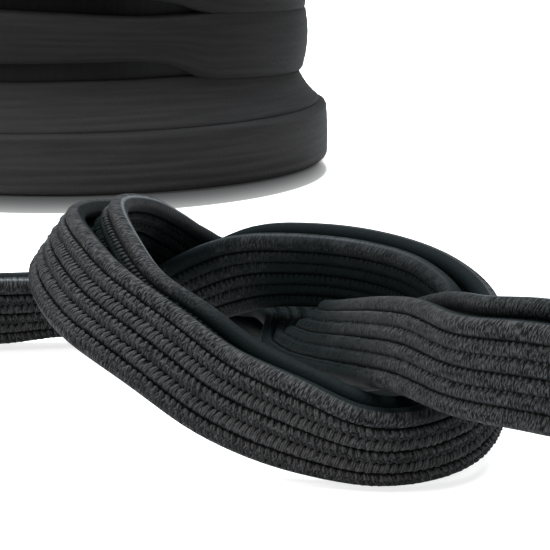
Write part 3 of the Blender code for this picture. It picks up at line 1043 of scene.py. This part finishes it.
# %% [markdown]
# ## The roll: the laps inside
#
# From above and below the roll shows the edges of all the laps between its eye and its
# outside. Each end is one spiral of plain tape, whose edge wanders up and down a little.
# Between them a turned body fills the roll, and its inner wall is the ribbed face of the
# laps round the eye.

# %% The spirals at the roll's two ends
EYE_RADIUS = 6.0  # millimetres, as are the next four
EYE_GAP = 0.7  # from the eye's wall to the middle of its innermost lap
LAP_HALF = 0.65  # half the tape's thickness
WANDER = 0.14  # how far a lap's edge lies from level
SPIRAL_WIDTH = 5.0
SPIRAL_STEP = 6.0  # degrees
WANDER_STEP = 75.0  # degrees from one random height of the edge to the next


def end_spiral(middle_height, outside, start_angle):
    """A spiral of laps from outside in to the eye, as a route."""
    inside = EYE_RADIUS + EYE_GAP
    turns = (outside - inside) / LAP_STEP
    angle = np.arange(0.0, turns * 360.0, SPIRAL_STEP)
    radius = outside - LAP_STEP * angle / 360.0
    knots = np.arange(0.0, turns * 360.0 + 200.0, WANDER_STEP)
    wander = np.interp(angle, knots, rng.normal(0.0, WANDER, len(knots)).clip(-2 * WANDER, 2 * WANDER))
    flat = np.full(len(angle), 1.0)
    return coil(start_angle - angle, radius * MM, (middle_height + wander) * MM,
                flat * SPIRAL_WIDTH * MM, 0.0 * flat)


SPIRAL_ROW = 2.0 * MM
TOP_HEIGHT = TIERS[-1].seam - SPIRAL_WIDTH / 2 - 2 * WANDER
BOTTOM_HEIGHT = SPIRAL_WIDTH / 2 + 2 * WANDER + 0.05
rng = np.random.default_rng(14)
for end_name, middle_height, tier in (("upper", TOP_HEIGHT, TIERS[-1]), ("lower", BOTTOM_HEIGHT, TIERS[0])):
    outside = tier.radius - LAP_HALF - LAP_STEP - (LAP_STEP if tier is TIERS[0] else 0.0)
    start_angle = STEP_DOWN_MIDDLE + STEP_DOWN_REACH
    spiral = end_spiral(middle_height, outside, start_angle)
    finish_piece(f"roll_{end_name}_laps", tape_mesh(spiral, plain_section, SPIRAL_ROW), roll_finish)

# %% The body between them, with the ribbed wall of the eye
BODY_RADIUS = 20.7 * MM
BODY_LOW = 3.0 * MM
BODY_HIGH = 38.0 * MM
BODY_SIDES = 72
BODY_BAND = 5.0  # millimetres of height that one width of the tape's map covers
EYE_TIERS = 7


def body_outline():
    """Radius and height round the body's section, up the outside and down the eye."""
    outline = [(BODY_RADIUS, BODY_LOW), (BODY_RADIUS, BODY_HIGH)]
    places, heights = face_profile(ROLL_SHARES)
    tier_height = (BODY_HIGH - BODY_LOW) / EYE_TIERS
    for tier in range(EYE_TIERS):
        for place, height in zip(places, heights):
            depth = THICKNESS / 2 - height
            outline.append((EYE_RADIUS * MM + depth, BODY_HIGH - tier_height * (tier + place / PITCHES)))
    return outline


bm = bmesh.new()
uv = bm.loops.layers.uv.new("tape")
outline = body_outline()
ring = [bm.verts.new((radius, 0.0, height)) for radius, height in outline]
edges = [bm.edges.new((ring[i], ring[(i + 1) % len(ring)])) for i in range(len(ring))]
bmesh.ops.spin(bm, geom=ring + edges, cent=(0, 0, 0), axis=(0, 0, 1), angle=2 * math.pi,
               steps=BODY_SIDES, use_duplicate=False, use_merge=True)
bmesh.ops.remove_doubles(bm, verts=bm.verts, dist=1e-6)
bmesh.ops.recalc_face_normals(bm, faces=bm.faces)
for face in bm.faces:
    for corner in face.loops:
        corner[uv].uv = (math.atan2(corner.vert.co.y, corner.vert.co.x) * EYE_RADIUS * MM / CORD_PITCH,
                         (corner.vert.co.z / MM % BODY_BAND) / BODY_BAND * PITCHES)
finish_piece("roll_inner_laps", new_mesh(bm, "body"), deep_shaded_finish)

# %% [markdown]
# ## Floor and light
#
# A white sheet under soft light from all sides, bright enough to burn out, as in a catalogue
# picture. The light on it is mostly its own glow, so the roll's soft shade, a ring round its
# foot that is widest in front, and a dark shade on the paper inside the knot's loop are painted
# into it.
# A big cool light above and behind lights the pale rims along the tape's edges, which a painted
# highlight makes paler still, and a smaller one in front shows the stitches.

# %% The paper
FLOOR_HALF = 2.0
PAPER_WHITE = (0.45, 0.45, 0.45, 1.0)
PAPER_GLOW = 0.78  # so that the knot's shadow on the paper is burnt out, as in the photo
ROLL_MIDDLE = (0.0, 0.0, 0.0)
ROLL_FOOT = 23.2 * MM  # its radius on the paper
ROLL_SHADE_MIDDLE = (0.0, -8.2 * MM, 0.0)  # the roll's soft shade lies in front of it
ROLL_SHADE_RADIUS = 23.6 * MM
ROLL_SHADE_EDGE = 0.5 * MM
FOOT_GLOW = 0.03  # the paper's glow at the roll's foot, where its painted shadow is darkest
SHADE_GLOW = 0.34  # how much it gains across the shade
# the paper's colour in the roll's painted shadow
SHADE_GREY = (0.02, 0.02, 0.02, 1.0)
# painted shade on the paper inside the knot's loop
LOOP_SHADE = (0.004, 0.008, 0.008, 1.0)


def distance(finish, place, middle):
    """How far a place is from a middle."""
    return finish.node("ShaderNodeVectorMath", {"operation": "DISTANCE"}, {0: place, 1: middle}, 1)


bm = bmesh.new()
bmesh.ops.create_grid(bm, x_segments=2, y_segments=2, size=FLOOR_HALF)
floor_mesh = new_mesh(bm, "floor")
paper = Finish("white paper", Roughness=0.9, Specular_IOR_Level=0.1, Emission_Strength=1.0)
on_paper = paper.node("ShaderNodeTexCoord", output=OBJECT_PLACE)
off_foot = distance(paper, on_paper, ROLL_MIDDLE) - ROLL_FOOT
off_shade = distance(paper, on_paper, ROLL_SHADE_MIDDLE) - ROLL_SHADE_RADIUS
clear_of_roll = ramp(paper, off_shade, 0.0, ROLL_SHADE_EDGE)
clear_of_loop = ramp(paper, distance(paper, on_paper, LOOP_MIDDLE), *LOOP_SHADE_EDGE)
# the roll's painted shadow: dark at its foot, lighter towards the shade's edge
across_shade = (off_foot / (off_foot - off_shade)).maths_of("MINIMUM", 1.0).maths_of("MAXIMUM", 0.0)
shade_glow = across_shade * across_shade * SHADE_GLOW + FOOT_GLOW
paper_glow = clear_of_roll * PAPER_GLOW + (1.0 - clear_of_roll) * shade_glow
paper_colour = mixed(paper, clear_of_roll, SHADE_GREY, PAPER_WHITE)
paper.shade("Base Color", mixed(paper, clear_of_loop, LOOP_SHADE, paper_colour))
paper.shade("Emission Color", clear_of_loop * paper_glow)
floor_mesh.materials.append(paper.material)
placed("floor", floor_mesh)
print("paper of %.0f m" % (2 * FLOOR_HALF))

# %% Lights and world
KNOT_MIDDLE = (22 * MM, -115 * MM, 6 * MM)
WORLD_STRENGTH = 0.44


def soft_light(name, place, aim, size, power, colour):
    """A softbox that faces its aim."""
    data = bpy.data.lights.new(name, "AREA")
    data.shape = "RECTANGLE"
    data.size, data.size_y = size
    data.energy = power
    data.color = colour
    lamp = placed(name, data)
    lamp.location = place
    away = np.array(place) - np.array(aim)
    flat = math.hypot(away[0], away[1])
    lamp.rotation_euler = (math.atan2(flat, away[2]), 0.0, math.atan2(away[1], away[0]) + math.pi / 2)


soft_light("top and back", (0.0, 0.10, 0.80), KNOT_MIDDLE, (0.9, 0.7), 24.0, (0.88, 0.96, 1.0))
soft_light("front left", (-0.75, -0.50, 0.60), KNOT_MIDDLE, (0.5, 0.5), 11.0, (1.0, 0.99, 0.97))

world = bpy.data.worlds.new("studio")
world.use_nodes = True
world.node_tree.nodes["Background"].inputs["Color"].default_value = (1.0, 1.0, 1.0, 1.0)
world.node_tree.nodes["Background"].inputs["Strength"].default_value = WORLD_STRENGTH
bpy.context.scene.world = world
bpy.context.scene.view_settings.view_transform = "Standard"
print("lights", [light.name for light in bpy.data.lights])
